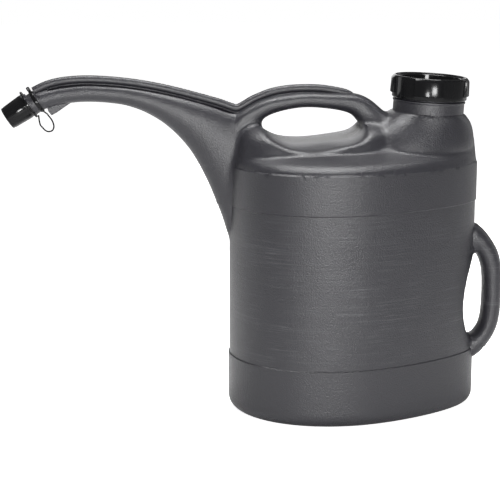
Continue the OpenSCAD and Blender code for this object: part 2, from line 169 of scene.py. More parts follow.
class PlugSizes(bpy.types.PropertyGroup):
    """Sizes of the spout cap and its strap."""
    wall: length("Wall", "Wall of the spout cap", 1.2)
    flange_radius: length("Flange radius", "Radius of the flange round the open end", 16.9)
    flange_thickness: length("Flange thickness", "Thickness of that flange", 2)
    flute_count: IntProperty(name="Flutes", description="Number of raised flutes", default=8, min=4)
    flute_proud: length("Flute step", "How far a flute stands out", 0.4)
    ring_wall: length("Ring wall", "Radial thickness of the strap's ring", 1.5)
    ring_width: length("Ring width", "Width of the strap's ring along the spout", 4.2)
    ring_back: length("Ring place", "How far behind the flange the ring starts", 10.4)
    knob_height: length("Tab height", "Height of the pull tab on the ring", 5.6)
    strand: length("Strand radius", "Radius of the strap's strand", 0.9)


class Finishes(bpy.types.PropertyGroup):
    """Colours and surface strengths."""
    can_colour: colour("Can grey", "Colour of the moulded can", (0.022, 0.0216, 0.0258))
    cap_colour: colour("Cap black", "Colour of the two caps and the strap", (0.006, 0.006, 0.0065))
    seal_colour: colour("Seal grey", "Colour of the seal", (0.11, 0.11, 0.112))
    can_roughness: factor("Can roughness", "Roughness of the moulded can", 0.34)
    cap_roughness: factor("Cap roughness", "Roughness of the caps", 0.13)
    grain: factor("Grain", "Strength of the moulded grain", 0.9)
    scratches: factor("Scratches", "Strength of the fine level scratches between the bands", 0.35)


class OilCanSettings(bpy.types.PropertyGroup):
    """Everything that a user would change."""
    body: PointerProperty(type=BodySizes)
    spout: PointerProperty(type=SpoutSizes)
    grip: PointerProperty(type=GripSizes)
    neck: PointerProperty(type=NeckSizes)
    plug: PointerProperty(type=PlugSizes)
    finish: PointerProperty(type=Finishes)


def settings():
    """The scene's own settings."""
    return bpy.context.scene.oil_can


# Curves and sections

def spline(points, steps):
    """Catmull-Rom curve through the rows of points, with steps rows to a span."""
    p = np.asarray(points, float)
    ends = np.vstack([p[:1], p, p[-1:]])
    t = (np.arange(steps) / steps)[:, None]
    rows = []
    for a, b, c, d in zip(ends, ends[1:], ends[2:], ends[3:]):
        rows.append(0.5 * (2 * b + (c - a) * t + (2 * a - 5 * b + 4 * c - d) * t ** 2
                           + (3 * b - a - 3 * c + d) * t ** 3))
    return np.vstack(rows + [p[-1:]])


def closed_spline(points, steps):
    """The same curve through a closed outline."""
    p = np.asarray(points, float)
    n = len(p)
    rows = spline(np.vstack([p[-2:], p, p[:2]]), steps)
    return rows[2 * steps:(2 + n) * steps]


def power_cos(t, power):
    """Cosine of a rounded-off oval."""
    return np.sign(np.cos(t)) * np.abs(np.cos(t)) ** (2 / power)


def power_sin(t, power):
    """Sine of a rounded-off oval."""
    return np.sign(np.sin(t)) * np.abs(np.sin(t)) ** (2 / power)


def turns(sides):
    """Equal steps round a full turn."""
    return np.arange(sides) * 2 * math.pi / sides


def middle_plane_tube(stations, sides, power):
    """Sections of a tube whose stations are [low x, low z, high x, high z, half width] in the middle plane."""
    t = turns(sides)
    rings = []
    for low_x, low_z, high_x, high_z, half_width in stations:
        low, high = np.array([low_x, low_z]), np.array([high_x, high_z])
        along = ((high - low) / 2)[None, :] * power_cos(t, power)[:, None]
        centre = (low + high) / 2
        rings.append(np.column_stack([centre[0] + along[:, 0], -half_width * power_sin(t, power),
                                      centre[1] + along[:, 1]]))
    return rings


def swept_tube(line, half_high, half_wide, sides):
    """Sections of an oval tube along a line of (x, z) points in the middle plane."""
    line = np.asarray(line)
    heading = np.gradient(line, axis=0)
    heading /= np.linalg.norm(heading, axis=1)[:, None]
    t = turns(sides)
    rings = []
    for point, unit in zip(line, heading):
        rings.append(np.column_stack([point[0] - unit[1] * half_high * np.cos(t), -half_wide * np.sin(t),
                                      point[1] + unit[0] * half_high * np.cos(t)]))
    return rings


def turned_rings(profile, sides):
    """Sections of a turned form whose profile is a list of (radius, height)."""
    t = turns(sides)
    return [np.column_stack([r * np.cos(t), r * np.sin(t), np.full(sides, z)]) for r, z in profile]


def tip_matrix():
    """Places the tip frame: +Z out of the mouth, +X the spout's upper side."""
    s = settings().spout
    return Matrix.Translation((s.tip_x, 0, s.tip_z)) @ Matrix.Rotation(-math.pi / 2 - s.droop, 4, "Y")


def collar_matrix():
    """The tip frame, lowered to the collar's middle."""
    return tip_matrix() @ Matrix.Translation((-settings().spout.collar_drop, 0, 0))


def neck_matrix():
    """Places the neck frame: +Z is the neck's axis."""
    s = settings().neck
    return Matrix.Translation((s.x, 0, s.z)) @ Matrix.Rotation(s.lean, 4, "Y")


def tip_point(out, up):
    """(x, z) of a point given along and above the tip's axis."""
    p = tip_matrix() @ Vector((up, 0, out))
    return [p.x, p.z]


# Modelling helpers

def deselect():
    """Leaves object mode with nothing selected."""
    if bpy.context.object and bpy.context.object.mode != "OBJECT":
        bpy.ops.object.mode_set(mode="OBJECT")
    bpy.ops.object.select_all(action="DESELECT")


def pick(*pieces):
    """Selects only these pieces and makes the first one active."""
    deselect()
    for piece in pieces:
        piece.select_set(True)
    bpy.context.view_layer.objects.active = pieces[0]


def loft(name, rings, matrix=None):
    """Extrudes a round face ring by ring through the sections, which leaves a closed form."""
    deselect()
    bpy.ops.mesh.primitive_circle_add(vertices=len(rings[0]), radius=1.0, fill_type="NGON")
    piece = bpy.context.object
    piece.name = name
    bpy.ops.object.mode_set(mode="EDIT")
    bpy.ops.mesh.select_all(action="SELECT")
    for number, ring in enumerate(rings):
        if number:
            bpy.ops.mesh.extrude_region_move()
        form = bmesh.from_edit_mesh(piece.data)
        face = next(f for f in form.faces if f.select)
        for vertex, point in zip(face.verts, ring):
            vertex.co = point
        bmesh.update_edit_mesh(piece.data)
    bpy.ops.mesh.select_all(action="SELECT")
    bpy.ops.mesh.normals_make_consistent(inside=False)
    bpy.ops.object.mode_set(mode="OBJECT")
    if matrix is not None:
        piece.data.transform(matrix)
    return piece


def apply_modifier(piece, kind, **values):
    """Adds one modifier with these values and applies it."""
    pick(piece)
    modifier = piece.modifiers.new(kind.title(), kind)
    for key, value in values.items():
        setattr(modifier, key, value)
    bpy.ops.object.modifier_apply(modifier=modifier.name)
    return piece


def combine(piece, other, operation):
    """Joins or cuts piece with other, which is used up."""
    apply_modifier(piece, "BOOLEAN", operation=operation, object=other, solver="MANIFOLD")
    bpy.data.objects.remove(other)
    return piece


def points_of(piece):
    """The piece's points as rows."""
    co = np.empty(len(piece.data.vertices) * 3)
    piece.data.vertices.foreach_get("co", co)
    return co.reshape(-1, 3)


def set_points(piece, co):
    """Writes the rows back to the piece."""
    piece.data.vertices.foreach_set("co", np.asarray(co, np.float32).ravel())
    piece.data.update()


def finish_piece(piece, body, slot, material, *nodes, smooth_angle=35):
    """Shades the piece, gives it its material and tells the frame what it is."""
    pick(piece)
    bpy.ops.object.shade_smooth_by_angle(angle=math.radians(smooth_angle))
    piece.data.materials.clear()
    piece.data.materials.append(material)
    if body:
        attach(piece, body)
    if nodes:
        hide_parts(*nodes)
    return piece


# The can's own lines, in millimetres, in the middle plane unless a comment says otherwise

SPOUT_STATIONS = [
    [-331, 355.8, -337.5, 375.4], [-304, 358.4, -304.6, 379], [-275.6, 356.8, -272.8, 377.4],
    [-253.4, 352.6, -246.2, 374.2], [-231.2, 343.3, -219.1, 368.8], [-208.9, 327.8, -192.4, 362.4],
    [-186.6, 303.1, -166.1, 354.8], [-168, 269.5, -144.1, 347.8], [-153, 232, -122, 342],
    [-144, 203, -106, 336], [-134, 176, -96, 331],
]
# How much of the way from the tube's radius to the root's half width each station has come
SPOUT_SWELL = [0.04, 0, 0.02, 0.1, 0.27, 0.51, 0.73, 0.9, 1, 1, 0.8]
BAR_STATIONS = [
    [-136, 318, -134, 344], [-114, 330, -121, 353], [-94, 342.5, -98, 362], [-62, 349.3, -62, 367],
    [-30, 347.7, -28, 366], [-6, 342, 0, 364.5], [5, 331, 18, 357.5], [15, 318, 34, 344], [24, 306, 48, 334],
]
# Millimetres that the bar grows wider by at each station
BAR_SWELL = [0, 0, 0, 0, 0, 0, 2, 9, 18]
VENT_LINE = [
    [-346, 377.6], [-329.6, 381.6], [-308.2, 383.4], [-286.5, 382.9], [-264.6, 381], [-242.7, 378],
    [-220.7, 373.8], [-198.5, 368.5], [-176.2, 362.4], [-153.9, 355.9], [-141.5, 351.4], [-133.5, 349.4],
    [-125, 353.2], [-116.5, 358.2], [-105.6, 363], [-94.6, 366.8], [-80, 369.6], [-62, 370.9],
    [-39.5, 370.3], [-17.5, 366.7], [-7.5, 363.6], [-2, 359], [-0.5, 353],
]
# Rear grip: [inner x, inner z, outer x, outer z]
REAR_STATIONS = [
    [121, 186, 129, 226], [135.5, 181.5, 146.5, 211], [143.4, 178, 157.5, 200], [149, 168.5, 169.5, 181],
    [152.4, 154, 174.8, 160.5], [153.4, 134, 175.6, 134], [152.8, 112, 174.6, 108.5], [150.6, 96.5, 171.2, 90],
    [146, 87, 163.5, 74], [138, 80, 151, 59], [124, 73, 134, 47],
]
REAR_THICKNESS = 22
HOLE_OUTLINE = [
    [-106.5, 331], [-103, 324.6], [-95, 319], [-80, 313.2], [-60, 312], [-38, 313.4], [-18, 315],
    [-4, 317.4], [4.5, 322.6], [7, 329], [2, 338], [-16, 345.4], [-50, 349.6], [-85, 347], [-101, 340.6],
]
# The hole widens from this middle point towards both sides, by HOLE_FLARE between two distances from the plane
HOLE_FLARE_SPAN = [28, 64]
HOLE_MIDDLE = [-50, 329]
HOLE_FLARE = 7.0
# Saddle that carries both ends of the grip: [height, front, rear, half width]
SADDLE_LEVELS = [
    [292, -137.5, 45, 65], [300, -137, 45, 63.5], [307, -136, 45, 62], [314, -134.5, 45, 60],
    [321, -132, 45, 55], [327, -128, 45, 45], [331, -123, 45, 31], [334, -114, 44, 13],
]
# Shoulder: [share of its rise, share of the depth]
SHOULDER = [
    [0.2, 0.98], [0.36, 0.925], [0.47, 0.845], [0.58, 0.745], [0.69, 0.64], [0.8, 0.575], [0.93, 0.53],
    [1, 0.5],
]
# Boss below the filler neck: [height, front, distance of its rear from the body's end, half width, egg]
BOSS_LEVELS = [
    [268, 12, 14, 42, 0.29], [288, 8, 9, 50, 0.29], [304, 5, 4, 52, 0.22], [318, 6, 4.5, 48.5, 0.14],
    [329, 15, 7.5, 44.5, 0.06], [337, 32, 11.5, 42, 0.02],
]
STRAND_LINE = [
    [-345.9, 345.8], [-343.6, 342.9], [-341.2, 339.6], [-339.3, 335.8], [-338.4, 331.9], [-339, 328.5],
    [-341.1, 326.3], [-344.5, 325.6], [-347.8, 327], [-351, 330.4], [-353.7, 334.3],
]
DRIP_TAB = [
    [-345.2, 352], [-344.2, 348.4], [-340.7, 343.9], [-335.3, 346.6], [-317, 359], [-330, 362],
]


def rear_limit(z):
    """How far back the body reaches at height z, which the finger recess shortens."""
    s = settings().body
    share = (z - s.recess_low) / (s.recess_high - s.recess_low)
    depth = s.recess_depth * math.sin(math.pi * share ** 0.8) ** 0.8 if 0 < share < 1 else 0
    return s.length / 2 + s.band_proud - depth


def body_section(z, inset, squash, sides):
    """The oval at height z, inset all round, with its depth multiplied by squash."""
    s = settings().body
    t = turns(sides)
    x = (s.length / 2 - inset) * power_cos(t, s.power)
    y = (s.depth / 2 - inset) * power_sin(t, s.power) * (1 - s.egg * 2 * x / s.length) * squash
    return np.column_stack([np.minimum(x, rear_limit(z)), y, np.full(sides, z)])


def body_form(name, gap, sides):
    """The body from base to shoulder; gap insets it for the hollow."""
    s = settings().body
    edge = max(s.base_edge - gap, 1 * MM)
    step = 1.2 * MM
    levels = [[gap + edge * (1 - math.cos(a)), gap - s.band_proud + edge * (1 - math.sin(a))]
              for a in np.linspace(0, math.pi / 2, 7)]
    levels += [[s.lower_band_top, gap - s.band_proud], [s.lower_band_top + step, gap]]
    recess = np.linspace(s.recess_low, s.recess_high, 25)
    levels += [[z, gap] for z in recess]
    levels += [[s.upper_band_bottom - step, gap], [s.upper_band_bottom, gap - s.band_proud],
               [s.upper_band_top, gap - s.band_proud]]
    rings = [body_section(z, inset, 1, sides) for z, inset in levels]
    crown = spline([[0, 1]] + SHOULDER, 4)[1:]
    crown_inset = 2.5 * MM
    for share, squash in crown:
        rings.append(body_section(s.upper_band_top + share * (s.shoulder_rise - gap),
                                  gap + crown_inset * share - s.band_proud * max(0, 1 - share / 0.2),
                                  squash, sides))
    return loft(name, rings)


def boss_form(name, gap, sides):
    """The boss between the body and the filler neck."""
    s, neck = settings().body, settings().neck
    half = s.length / 2
    power = 2.1
    levels = [[z * MM, front * MM, half - rear * MM, wide * MM, egg] for z, front, rear, wide, egg in BOSS_LEVELS]
    over = 1 * MM
    levels.append([neck.z + 3 * MM, neck.x - neck.radius - over, neck.x + neck.radius + over,
                   neck.radius + 0.6 * MM, 0])
    t = turns(sides)
    c, d = power_cos(t, power), power_sin(t, power)
    rings = []
    tilt_start, tilt_span = 330 * MM, 13 * MM
    for z, front, rear, wide, egg in spline(levels, 4):
        reach = (rear - front) / 2 - gap
        tilt = max(z - tilt_start, 0) / tilt_span * math.sin(neck.lean)
        rings.append(np.column_stack([(front + rear) / 2 + reach * c, (wide - gap) * d * (1 - egg * c),
                                      z - tilt * reach * c]))
    return loft(name, rings)


def saddle_form(name, gap, sides):
    """The saddle between the hand hole and the shoulder, on which both ends of the grip stand."""
    t = turns(sides)
    power = 2.8
    rings = []
    rows = spline(SADDLE_LEVELS, 4) * MM
    for z, front, rear, wide in rows:
        rings.append(np.column_stack([(front + rear) / 2 + ((rear - front) / 2 - gap) * power_cos(t, power),
                                      (wide - gap) * power_sin(t, power), np.full(sides, z)]))
    rings[-1][:, 2] -= gap
    return loft(name, rings)


def hole_flare(y):
    """How much the hand hole has widened at a distance from the middle plane."""
    low, high = HOLE_FLARE_SPAN
    share = np.clip((np.abs(y) / MM - low) / (high - low), 0, 1)
    return HOLE_FLARE * MM * share ** 1.6


def hole_form(name, grow, steps):
    """The hand hole, which widens towards both sides."""
    flat = closed_spline(HOLE_OUTLINE, steps)
    away = flat - np.array(HOLE_MIDDLE)
    away /= np.linalg.norm(away, axis=1)[:, None]
    rings = []
    for y in (-150, -64, -58, -52, -46, -40, -34, -28, 28, 34, 40, 46, 52, 58, 64, 150):
        wide = flat + away * (hole_flare(np.array([y * MM]))[0] / MM + grow / MM)
        rings.append(np.column_stack([wide[:, 0], np.full(len(flat), y), wide[:, 1]]) * MM)
    return loft(name, rings)


def spout_form(name, gap, sides):
    """The spout from its root inside the body to its end."""
    s = settings().spout
    start = s.tube_start + gap
    stations = [tip_point(-start, -14.4 * MM) + tip_point(-start, 8 * MM) + [s.collar_radius - 0.3 * MM]]
    for row, swell in zip(SPOUT_STATIONS, SPOUT_SWELL):
        stations.append([v * MM for v in row] + [s.radius + swell * (s.root_half_width - s.radius)])
    rows = spline(stations, 6)
    if gap:
        low, high = rows[:, 0:2].copy(), rows[:, 2:4].copy()
        unit = (high - low) / np.linalg.norm(high - low, axis=1)[:, None]
        rows[:, 0:2], rows[:, 2:4], rows[:, 4] = low + unit * gap, high - unit * gap, rows[:, 4] - gap
    return loft(name, middle_plane_tube(rows, sides, 2.1))


def bar_form(name, sides):
    """The top grip bar."""
    s = settings().grip
    rows = [[v * MM for v in row] + [s.half_width + swell * MM] for row, swell in zip(BAR_STATIONS, BAR_SWELL)]
    return loft(name, middle_plane_tube(spline(rows, 6), sides, 2.6))


def rear_form(name, sides):
    """The rear grip, bowed from the upper part of the wall to the lower band."""
    s = settings().grip
    rows = []
    for row in spline(REAR_STATIONS, 6) * MM:
        middle, half = (row[:2] + row[2:]) / 2, (row[2:] - row[:2]) / 2 * 2 * s.rear_half_thickness / (REAR_THICKNESS * MM)
        rows.append([*(middle - half), *(middle + half), s.rear_half_width])
    return loft(name, middle_plane_tube(rows, sides, 2.2))


def slab(name, outline, half_width):
    """A flat outline of (x, z) points in millimetres, extruded both ways from the middle plane."""
    flat = np.asarray(outline) * MM
    rings = [np.column_stack([flat[:, 0], np.full(len(flat), y), flat[:, 1]]) for y in (-half_width, half_width)]
    return loft(name, rings)


def vent_path():
    """The vent tube's middle line in metres, from the collar to the grip's far end."""
    start = settings().spout.tube_start + 0.7 * MM
    return [tip_point(-start, 9.4 * MM)] + [[x * MM, z * MM] for x, z in VENT_LINE]


def falloff(distance, reach):
    """1 at no distance, 0 at reach and beyond."""
    t = np.clip(1 - distance / reach, 0, 1)
    return t * t * (3 - 2 * t)


def outline_distance(co, outline):
    """Distance in the middle plane from each point to a closed outline in millimetres."""
    rows = closed_spline(np.asarray(outline) * MM, 6)
    best = np.full(len(co), 1.0)
    for x, z in rows:
        best = np.minimum(best, np.hypot(co[:, 0] - x, co[:, 2] - z))
    return best


def wall_gap(co, inset):
    """Signed distance from the body's wall, outwards positive, and the unit direction outwards."""
    s = settings().body
    a, b, n = s.length / 2 - inset, s.depth / 2 - inset, s.power
    half = s.length / 2
    x, y = co[:, 0], co[:, 1]
    deep = b * (1 - s.egg * x / half)
    u, v = np.abs(x / a) + 1e-6, np.abs(y / deep) + 1e-6
    value = u ** n + v ** n - 1
    slope_x = n * u ** (n - 1) * np.sign(x) / a + n * v ** n * s.egg * b / half / deep
    slope_y = n * v ** (n - 1) * np.sign(y) / deep
    size = np.hypot(slope_x, slope_y)
    return value / size, np.column_stack([slope_x / size, slope_y / size])


def blend_weights(co):
    """1 where two moulded forms meet and are rounded into each other, 0 on the plain surfaces."""
    s, neck = settings(), settings().neck
    reach = s.grip.fillet
    flat = co[:, [0, 2]] - np.array(HOLE_MIDDLE) * MM
    away = flat / np.maximum(np.linalg.norm(flat, axis=1), MM)[:, None]
    drawn = co.copy()
    drawn[:, [0, 2]] -= away * hole_flare(co[:, 1])[:, None]
    weight = falloff(np.abs(outline_distance(drawn, HOLE_OUTLINE)), reach * 0.6)
    weight *= np.abs(co[:, 1]) > 8 * MM
    spheres = [
        [-150, 0, 322, 34], [-140, 0, 345, 26], [-120, 0, 350, 24], [22, 0, 345, 30], [36, 0, 336, 30],
        [132, 0, 204, 18], [130, 0, 56, 20], [138, 0, 186, 14], [140, 0, 78, 14], [-142, 0, 205, 30],
        [-146, 0, 222, 26],
    ]
    for x, y, z, size in spheres:
        centre = np.array([x, y, z]) * MM
        weight = np.maximum(weight, falloff(np.linalg.norm(co - centre, axis=1), size * MM))
    crease = [
        [-145, 216], [-150, 228], [-151, 240], [-147, 252], [-144, 264], [-141, 276], [-138, 287], [-135, 297],
        [-130, 308], [-120, 318], [-108, 326],
    ]
    for side in (-1, 1):
        for x, z in crease:
            centre = np.array([x, side * s.spout.root_half_width / MM, z]) * MM
            weight = np.maximum(weight, falloff(np.linalg.norm(co - centre, axis=1), 19 * MM))
        for x, z in [[-122, 332], [-112, 336], [10, 340], [18, 330], [28, 322], [38, 320]]:
            centre = np.array([x, side * s.grip.half_width / MM, z]) * MM
            weight = np.maximum(weight, falloff(np.linalg.norm(co - centre, axis=1), 24 * MM))
        for x, z in [[2, 308], [5, 316], [9, 324], [14, 332], [22, 338]]:
            centre = np.array([x, side * 2 * s.grip.half_width / MM, z]) * MM
            weight = np.maximum(weight, falloff(np.linalg.norm(co - centre, axis=1), 22 * MM))
    top = falloff(np.maximum(np.abs(co[:, 2] - 319 * MM) - 10 * MM, 0), 5 * MM)
    top *= falloff(np.maximum(np.abs(co[:, 1]) - 66 * MM, 0), 12 * MM)
    weight = np.maximum(weight, 0.6 * top * (np.abs(co[:, 1]) > 12 * MM) * (co[:, 0] < neck.x))
    ring = np.hypot(co[:, 0] - neck.x, co[:, 1])
    base = np.hypot(ring - neck.radius - 8 * MM, co[:, 2] - 306 * MM)
    front = falloff(np.maximum(co[:, 0] - neck.x, 0), 26 * MM)
    return np.maximum(weight, 0.6 * falloff(base, 12 * MM) * front)


def relax(piece, weights, passes):
    """Smooths the surface where the weights say so."""
    group = piece.vertex_groups.new(name="Relax")
    for share in range(1, 11):
        chosen = np.nonzero(np.round(weights * 10).astype(int) == share)[0]
        if len(chosen):
            group.add(chosen.tolist(), share / 10, "REPLACE")
    apply_modifier(piece, "SMOOTH", factor=0.5, iterations=passes, vertex_group="Relax")
    piece.vertex_groups.clear()


def true_wall(piece):
    """Draws the plain wall and the two bands out to their exact oval, with crisp steps at their edges."""
    s = settings().body
    co = points_of(piece)
    step, top_step = 1.1 * MM, 1.7 * MM
    for level, away, step in ((s.lower_band_top, 1, step), (s.upper_band_bottom, -1, step),
                              (s.upper_band_top, 1, top_step)):
        near = co[:, 2] - level
        beyond = near * away
        close = np.hypot(co[:, 0], co[:, 1]) > 60 * MM
        inside = close & (beyond <= 0) & (beyond > -s.grid)
        outside = close & (beyond > 0) & (beyond <= s.grid)
        co[inside, 2] = level
        co[outside, 2] = level + away * step
    z = co[:, 2]
    tiny = 0.05 * MM
    band = (z < s.lower_band_top + tiny) | ((z > s.upper_band_bottom - tiny) & (z < s.upper_band_top + tiny))
    inset = np.where(band, -s.band_proud, 0.0)
    crown = (z > s.upper_band_top + tiny) & (z < s.upper_band_top + top_step + tiny)
    inset[crown] = 0.2 * s.band_proud
    held = (z > s.base_edge) & (z < s.upper_band_top + top_step + tiny)
    weight = np.where(held, 1 - blend_weights(co), 0.0)
    distance, _ = wall_gap(co, 0.0)
    weight *= falloff(np.maximum(np.abs(distance) - 2.0 * MM, 0), 1.2 * MM)
    in_recess = (co[:, 0] > s.length / 2 - s.recess_depth - 8 * MM) & (z > s.recess_low - 4 * MM) & (z < s.recess_high + 4 * MM)
    weight[in_recess & (np.abs(co[:, 1]) < 40 * MM)] = 0
    for _ in range(4):
        distance, outward = wall_gap(co, inset)
        co[:, :2] -= outward * (distance * weight)[:, None]
    set_points(piece, co)


def thread_form(name):
    """The filler neck with its bead and a coarse thread under the cap."""
    s = settings().neck
    sides = 120
    t = turns(sides)
    bead_z = s.height - s.cap_height + 2.6 * MM
    rows = [[s.radius, -4 * MM], [s.radius, bead_z - 1.8 * MM], [s.radius + 0.9 * MM, bead_z - 0.8 * MM],
            [s.radius + 0.9 * MM, bead_z + 0.6 * MM], [s.radius - s.thread_depth, bead_z + 1.8 * MM]]
    rings = [np.column_stack([r * np.cos(t), r * np.sin(t), np.full(sides, z)]) for r, z in rows]
    first, last = bead_z + 2.4 * MM, s.height - 2 * MM
    for z in np.arange(first, last, 0.5 * MM):
        phase = (z - first) / s.thread_pitch - t / (2 * math.pi)
        crest = np.clip(1.6 - 4.4 * np.abs(phase - np.round(phase)), 0, 1)
        fade = min((z - first) / (2 * MM), (last - z) / (2 * MM), 1)
        r = s.radius - s.thread_depth * (1 - crest * max(fade, 0))
        rings.append(np.column_stack([r * np.cos(t), r * np.sin(t), np.full(sides, z)]))
    rim = s.radius - s.thread_depth
    for r, z in ((rim, s.height - 0.8 * MM), (rim - 0.8 * MM, s.height)):
        rings.append(np.column_stack([r * np.cos(t), r * np.sin(t), np.full(sides, z)]))
    return loft(name, rings, neck_matrix())


def tip_form(name):
    """The spout's end: the mouth that the cap covers and the collar behind it."""
    s = settings().spout
    gap, edge = 0.3 * MM, 0.8 * MM
    base = s.mouth_radius + s.mouth_taper
    mouth = loft(name, turned_rings([[base, -gap - 2 * edge], [base, -gap], [s.mouth_radius, s.mouth_length - edge],
                                     [s.mouth_radius - edge, s.mouth_length]], 64), tip_matrix())
    collar = loft("collar", turned_rings([[s.collar_radius, -s.collar_back], [s.collar_radius, -gap - edge]], 64),
                  collar_matrix())
    return combine(mouth, collar, "UNION")


def bore_form(name, radius, low, high, offset, matrix):
    """A plain round cutter along local Z."""
    return loft(name, turned_rings([[radius, low], [radius, high]], 48),
                matrix @ Matrix.Translation((offset, 0, 0)))


# Materials

def new_group(name, inputs, outputs):
    """A shader node group with these named sockets: {name: (socket type, default)}."""
    group = bpy.data.node_groups.new(name, "ShaderNodeTree")
    for label, (kind, default) in inputs.items():
        socket = group.interface.new_socket(label, in_out="INPUT", socket_type=kind)
        if default is not None:
            socket.default_value = default
    for label, kind in outputs.items():
        group.interface.new_socket(label, in_out="OUTPUT", socket_type=kind)
    return group, group.nodes.new("NodeGroupInput"), group.nodes.new("NodeGroupOutput")


def add_node(tree, kind, links=None, **values):
    """Adds a node, sets its values and links its inputs: {input: socket or value}."""
    node = tree.nodes.new(kind)
    for key, value in values.items():
        setattr(node, key, value)
    for key, source in (links or {}).items():
        socket = node.inputs[key]
        if isinstance(source, bpy.types.NodeSocket):
            tree.links.new(source, socket)
        else:
            socket.default_value = source
    return node


def maths(tree, operation, first, second=0.0):
    """One Math node's value."""
    return add_node(tree, "ShaderNodeMath", {0: first, 1: second}, operation=operation).outputs[0]


def ramp(tree, value, low, high, to_low=0.0, to_high=1.0):
    """Maps value from one range to another, held at its ends."""
    return add_node(tree, "ShaderNodeMapRange",
                    {"Value": value, "From Min": low, "From Max": high, "To Min": to_low, "To Max": to_high},
                    clamp=True).outputs["Result"]


def noise(tree, vector, scale, detail=2.0, roughness=0.5):
    """A noise value on the piece's own coordinates."""
    return add_node(tree, "ShaderNodeTexNoise",
                    {"Vector": vector, "Scale": scale, "Detail": detail, "Roughness": roughness}).outputs["Fac"]


def grain_group():
    """Moulded plastic: fine pimples, a speckle in the colour and slow changes of gloss."""
    group, start, end = new_group(
        "Moulded Grain",
        {"Color": ("NodeSocketColor", (0.1, 0.1, 0.1, 1)), "Roughness": ("NodeSocketFloat", 0.4),
         "Grain Scale": ("NodeSocketFloat", 900.0), "Speckle": ("NodeSocketFloat", 0.12),
         "Gloss Spread": ("NodeSocketFloat", 0.08)},
        {"Color": "NodeSocketColor", "Roughness": "NodeSocketFloat", "Height": "NodeSocketFloat"},
    )
    place = add_node(group, "ShaderNodeTexCoord").outputs["Object"]
    fine = noise(group, place, start.outputs["Grain Scale"], 3.0, 0.6)
    coarse = noise(group, place, 26.0, 3.0, 0.55)
    centred = maths(group, "SUBTRACT", fine, 0.5)
    shade = maths(group, "MULTIPLY_ADD", centred, start.outputs["Speckle"])
    shade.node.inputs[2].default_value = 1.0
    slow = maths(group, "MULTIPLY_ADD", maths(group, "SUBTRACT", coarse, 0.5), 0.14)
    group.links.new(shade, slow.node.inputs[2])
    tint = add_node(group, "ShaderNodeVectorMath", {0: start.outputs["Color"], "Scale": slow}, operation="SCALE")
    gloss = maths(group, "MULTIPLY_ADD", maths(group, "SUBTRACT", coarse, 0.5), start.outputs["Gloss Spread"])
    group.links.new(start.outputs["Roughness"], gloss.node.inputs[2])
    group.links.new(tint.outputs["Vector"], end.inputs["Color"])
    group.links.new(gloss, end.inputs["Roughness"])
    group.links.new(fine, end.inputs["Height"])
    return group


def scratch_group():
    """Fine level scuffs between two heights, as a label machine or a shelf leaves them."""
    group, start, end = new_group(
        "Level Scratches",
        {"Low": ("NodeSocketFloat", 0.0), "High": ("NodeSocketFloat", 1.0), "Amount": ("NodeSocketFloat", 0.5)},
        {"Mask": "NodeSocketFloat", "Height": "NodeSocketFloat"},
    )
    place = add_node(group, "ShaderNodeTexCoord").outputs["Object"]
    squeezed = add_node(group, "ShaderNodeMapping", {"Vector": place, "Scale": (14.0, 14.0, 900.0)})
    lines = noise(group, squeezed.outputs["Vector"], 1.0, 4.0, 0.7)
    patch = noise(group, place, 30.0, 2.0)
    height = add_node(group, "ShaderNodeSeparateXYZ", {"Vector": place}).outputs["Z"]
    soft = 0.012
    above = maths(group, "SUBTRACT", height, start.outputs["Low"])
    below = maths(group, "SUBTRACT", start.outputs["High"], height)
    window = maths(group, "MULTIPLY", ramp(group, above, 0.0, soft), ramp(group, below, 0.0, soft))
    picked = maths(group, "MULTIPLY", ramp(group, lines, 0.52, 0.72), ramp(group, patch, 0.35, 0.65))
    mask = maths(group, "MULTIPLY", maths(group, "MULTIPLY", picked, window), start.outputs["Amount"])
    group.links.new(mask, end.inputs["Mask"])
    group.links.new(maths(group, "MULTIPLY", lines, window), end.inputs["Height"])
    return group


def parting_group():
    """The mould's parting line, a hair-fine ridge where the piece crosses its middle plane."""
    group, start, end = new_group("Parting Line", {"Half Width": ("NodeSocketFloat", 0.0006)},
                                  {"Mask": "NodeSocketFloat"})
    place = add_node(group, "ShaderNodeTexCoord").outputs["Object"]
    across = maths(group, "ABSOLUTE", add_node(group, "ShaderNodeSeparateXYZ", {"Vector": place}).outputs["Y"])
    share = maths(group, "DIVIDE", across, start.outputs["Half Width"])
    group.links.new(ramp(group, share, 0.3, 1.0, 1.0, 0.0), end.inputs["Mask"])
    return group


def use_group(tree, group, links):
    """Places a node group in a material."""
    node = tree.nodes.new("ShaderNodeGroup")
    node.node_tree = group
    for key, source in links.items():
        if isinstance(source, bpy.types.NodeSocket):
            tree.links.new(source, node.inputs[key])
        else:
            node.inputs[key].default_value = source
    return node


def new_material(name):
    """An empty material with its shader."""
    material = bpy.data.materials.new(name)
    material.use_nodes = True
    return material, material.node_tree, material.node_tree.nodes["Principled BSDF"]


def bump(tree, height, strength, depth, normal=None):
    """A Bump node on this height."""
    links = {"Height": height, "Strength": strength, "Distance": depth}
    if normal is not None:
        links["Normal"] = normal
    return add_node(tree, "ShaderNodeBump", links).outputs["Normal"]


